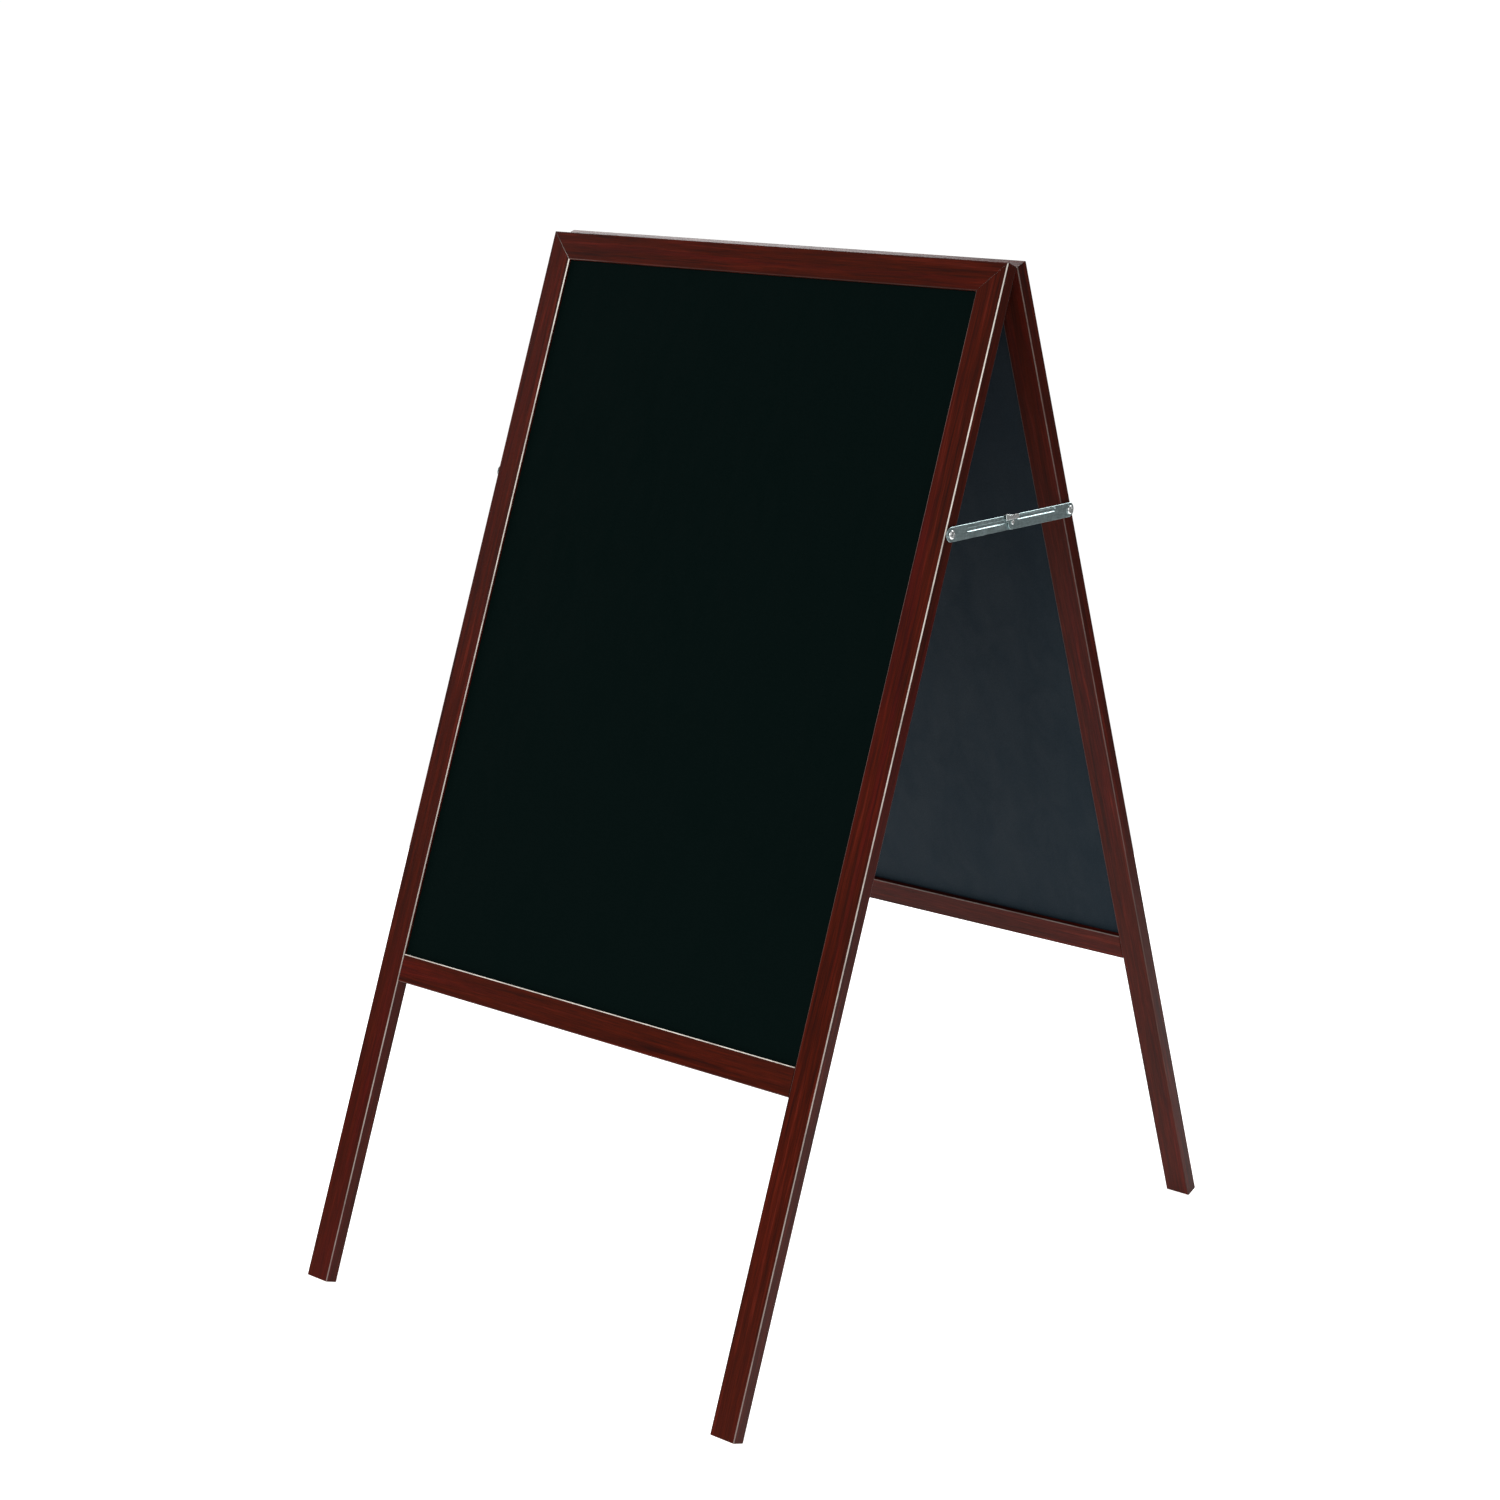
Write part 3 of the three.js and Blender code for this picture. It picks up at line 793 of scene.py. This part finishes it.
def make_rivet(side_name):
    """The knee rivet's two halves: a domed head on the back link and a flat tail on the front link."""
    side = SIDES[side_name]
    for part in ("head", "tail"):
        node = f"stay_{side_name}_rivet_{part}"
        low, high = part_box(node)
        radius, length = (high.z - low.z) / 2, high.x - low.x
        y, z = (low.y + high.y) / 2, (low.z + high.z) / 2
        if part == "head":
            dome = pan_head(radius, RIVET_HEAD_HEIGHT, length - RIVET_HEAD_HEIGHT)
            profile = [(0, 0), (RIVET_SHANK, 0), (RIVET_SHANK, length - RIVET_HEAD_HEIGHT)] + dome
        else:
            flange = RIVET_TAIL_FLANGE
            profile = [(0, 0), (radius - SOFT_EDGE, 0), (radius, SOFT_EDGE), (radius, flange)]
            profile += [(RIVET_SHANK, flange), (RIVET_SHANK, length), (0, length)]
        matrix = along_x(side, low.x if side > 0 else high.x, y, z)
        made = finish_piece(f"{node}_formed", turned(profile), matrix, [STEEL], node)
        crease(made)


CLIP = {"thickness": 1 * MM, "lip": 5.4 * MM, "lip_height": 1.2 * MM, "edge": 0.35 * MM}


def make_clip(side_name):
    """A plate with soft edges, with a lip folded in from one end of its top."""
    side = SIDES[side_name]
    node = f"stay_{side_name}_stop_clip"
    low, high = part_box(node)
    outer, inner = (high.x, low.x) if side > 0 else (low.x, high.x)
    plate_x = sorted((outer - side * CLIP["thickness"], outer))
    top = high.z - CLIP["lip_height"]
    lip_end = low.y + CLIP["lip"]
    blocks = [
        ((plate_x[0], low.y, low.z), (plate_x[1], high.y, top)),
        ((plate_x[0], low.y, low.z + CLIP["thickness"]), (plate_x[1], lip_end, high.z)),
        ((min(inner, outer), low.y, top), (max(inner, outer), lip_end, high.z)),
    ]
    solids = []
    for block in blocks:
        solid = box_shape(*block)
        round_edges(solid, CLIP["edge"], 3)
        solids.append(solid)
    whole = carve(solids[0], solids[1:], "UNION")
    crease(finish_piece(f"{node}_folded", whole, Matrix(), [STEEL], node))


def make_stays():
    for side_name in SIDES:
        for leaf in LEAF_TO_WORLD:
            make_link(side_name, leaf)
            make_stay_screw(side_name, leaf)
            make_washer(side_name, leaf)
        make_rivet(side_name)
        make_clip(side_name)


# ---- Hinges ----

KNUCKLES = 5
FIRST_KNUCKLE = {"front": 0, "back": 1}
KNUCKLE = {"radius": 2.6 * MM, "bore": 1.4 * MM, "clear": 3.1 * MM, "gap": 0.3 * MM}
PLATE_THICKNESS = 1.1 * MM
PLATE_LOW, PLATE_HIGH = box_in(LEAF_TO_WORLD["front"], "hinge_left_plate_front")
PLATE_PITCH = (PLATE_HIGH.x - PLATE_LOW.x) / KNUCKLES
PLATE_FACE = box_in(LEAF_TO_WORLD["front"], "front_stile_left")[0].y
HINGE_SCREW = {"shank": 1.2 * MM, "cone": 1.5 * MM, "rim": 0.1 * MM, "point": 2 * MM}
HINGE_SCREW_TIP = {"share": 0.5, "height": 0.8 * MM}
HINGE_HOLE = 0.25 * MM  # how much wider than its screw
HINGE_RECESS = {"half": 1.5 * MM, "width": 0.6 * MM, "depth": 0.9 * MM, "taper": 0.5}


def hinge_screw_profile(length, head, grow=0):
    """(radius, height) points of a countersunk screw from its tip, at 0, to its flat head, at length."""
    shank = HINGE_SCREW["shank"] + grow
    return [
        (0, -grow), (shank * HINGE_SCREW_TIP["share"], HINGE_SCREW_TIP["height"]),
        (shank, HINGE_SCREW["point"]), (shank, length - HINGE_SCREW["cone"]),
        (head + grow, length - HINGE_SCREW["rim"]), (head + grow, length),
    ]


def hinge_screw_place(leaf, node):
    """A matrix from a screw turned about Z to its place in the leaf's axes, its length and head radius."""
    low, high = box_in(LEAF_TO_WORLD[leaf], node)
    middle = (low + high) / 2
    turn = Matrix.Translation((middle.x, high.y, middle.z)) @ Matrix.Rotation(math.pi / 2, 4, "X")
    return turn, high.y - low.y, (high.x - low.x) / 2


def make_hinge_plate(side_name, leaf, screw_nodes):
    """A plate with its knuckles, bored for the pin and countersunk for the screws."""
    node = f"hinge_{side_name}_plate_{leaf}"
    low, high = box_in(LEAF_TO_WORLD[leaf], node)
    inner, outer = PLATE_FACE, PLATE_FACE + PLATE_THICKNESS
    plate = box_shape((low.x, inner, low.z), (high.x, outer, -KNUCKLE["clear"]))
    joined = []
    for i in range(FIRST_KNUCKLE[leaf], KNUCKLES, 2):
        start = low.x + i * PLATE_PITCH + KNUCKLE["gap"] / 2
        end = start + PLATE_PITCH - KNUCKLE["gap"]
        tube = turned([(0, start), (KNUCKLE["radius"], start), (KNUCKLE["radius"], end), (0, end)])
        tube.transform(Matrix.Rotation(math.pi / 2, 4, "Y"))
        joined.append(tube)
        web_low = (start, inner, -KNUCKLE["clear"] - PAST)
        joined.append(box_shape(web_low, (end, outer, -KNUCKLE["bore"])))
    cuts = [rod_shape(KNUCKLE["bore"], low.x - PAST, high.x + PAST, 0, 0)]
    for screw_node in screw_nodes:
        turn, length, head = hinge_screw_place(leaf, screw_node)
        past = [(head + HINGE_HOLE, length + PAST), (0, length + PAST)]
        hole = turned(hinge_screw_profile(length, head, HINGE_HOLE) + past)
        hole.transform(turn)
        cuts.append(hole)
    shape = carve(carve(plate, joined, "UNION"), cuts)
    crease(finish_piece(f"{node}_stamped", shape, LEAF_TO_WORLD[leaf], [ZINC], node))


def make_hinge_screw(leaf, node):
    turn, length, head = hinge_screw_place(leaf, node)
    body = turned(hinge_screw_profile(length, head) + [(0, length)])
    shape = carve(body, [cross_shape(HINGE_RECESS, length)])
    matrix = LEAF_TO_WORLD[leaf] @ turn
    crease(finish_piece(f"{node}_turned", shape, matrix, [STEEL], node))


def make_hinge(side_name):
    for leaf in LEAF_TO_WORLD:
        screw_nodes = [f"hinge_{side_name}_screw_{leaf}_{number}" for number in (1, 2)]
        make_hinge_plate(side_name, leaf, screw_nodes)
        for screw_node in screw_nodes:
            make_hinge_screw(leaf, screw_node)
    make_hinge_pin(side_name)


def make_hinge_pin(side_name):
    node = f"hinge_{side_name}_pin"
    low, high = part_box(node)
    radius, length = (high.z - low.z) / 2, high.x - low.x
    soft = 2 * SOFT_EDGE
    profile = [(0, 0), (radius - soft, 0), (radius, soft), (radius, length - soft)]
    profile += [(radius - soft, length), (0, length)]
    matrix = along_x(1, low.x, (low.y + high.y) / 2, (low.z + high.z) / 2)
    crease(finish_piece(f"{node}_turned", turned(profile), matrix, [STEEL], node))


# ---- Hidden joinery ----


def finish_joinery():
    for name, node in frame["nodes"].items():
        if "dowel" in name or "mitre_key" in name:
            node.data.materials.clear()
            node.data.materials.append(BEECH)


# ---- Floor and light ----

FLOOR_RADIUS = 1.7
FLOOR_SIDES = 96
FLOOR_GLOW, FLOOR_COLOUR = 0.86, (0.8, 0.8, 0.8, 1)
ROOM_LIGHT = 0.22
BACKDROP = 1.05  # the world's strength where the camera sees it
AIM = Vector((0, 0, 0.6))

# name: place, width and height, power, and colour.
SOFTBOXES = {
    "key": ((0.3, -3.3, 2.6), (2.0, 1.6), 104, (1, 0.985, 0.97)),
    "left_fill": ((-3.2, -1.2, 1.6), (1.6, 1.8), 30, (0.97, 0.985, 1)),
    "back": ((0.7, 2.6, 2.9), (2.0, 1.2), 60, (1, 1, 1)),
    "back_left": ((-2.3, 1.6, 3.0), (1.4, 1.2), 42, (1, 1, 1)),
    "right_strip": ((3.0, 0.2, 1.4), (0.3, 1.8), 5, (1, 1, 1)),
    "low_right": ((1.5, -2.2, 0.4), (1.2, 0.5), 7, (1, 0.97, 0.93)),
}


def make_floor():
    shape = bmesh.new()
    bmesh.ops.create_circle(shape, cap_ends=True, segments=FLOOR_SIDES, radius=FLOOR_RADIUS)
    mesh = bpy.data.meshes.new("floor")
    shape.to_mesh(mesh)
    shape.free()
    floor = bpy.data.objects.new("floor", mesh)
    bpy.context.scene.collection.objects.link(floor)
    graph = Graph("floor", Base_Color=FLOOR_COLOUR, Roughness=1, Specular_IOR_Level=0)
    graph.shader.inputs["Emission Color"].default_value = (1, 1, 1, 1)
    graph.shader.inputs["Emission Strength"].default_value = FLOOR_GLOW
    mesh.materials.append(graph.material)


def make_world():
    """White behind the object, and a dimmer even light all round it."""
    world = bpy.data.worlds.new("studio")
    bpy.context.scene.world = world
    world.use_nodes = True
    tree = world.node_tree
    tree.nodes.clear()
    output = tree.nodes.new("ShaderNodeOutputWorld")
    rays = tree.nodes.new("ShaderNodeLightPath")
    mix = tree.nodes.new("ShaderNodeMixShader")
    for index, strength in ((1, ROOM_LIGHT), (2, BACKDROP)):
        sky = tree.nodes.new("ShaderNodeBackground")
        sky.inputs["Color"].default_value = (1, 1, 1, 1)
        sky.inputs["Strength"].default_value = strength
        tree.links.new(sky.outputs[0], mix.inputs[index])
    tree.links.new(rays.outputs["Is Camera Ray"], mix.inputs[0])
    tree.links.new(mix.outputs[0], output.inputs["Surface"])


def make_lights():
    for name, (place, size, power, colour) in SOFTBOXES.items():
        data = bpy.data.lights.new(name, "AREA")
        data.shape, data.size, data.size_y = "RECTANGLE", *size
        data.energy, data.color = power, colour
        light = bpy.data.objects.new(name, data)
        bpy.context.scene.collection.objects.link(light)
        light.location = place
        light.rotation_mode = "QUATERNION"
        light.rotation_quaternion = (AIM - Vector(place)).to_track_quat("-Z", "Y")
        light.visible_camera = False


make_camera()
make_frames()
for leaf_name in LEAF_TO_WORLD:
    make_board(leaf_name)
make_stays()
for hinge_side in SIDES:
    make_hinge(hinge_side)
finish_joinery()
make_floor()
make_world()
make_lights()
bpy.context.scene.view_settings.view_transform = "Standard"
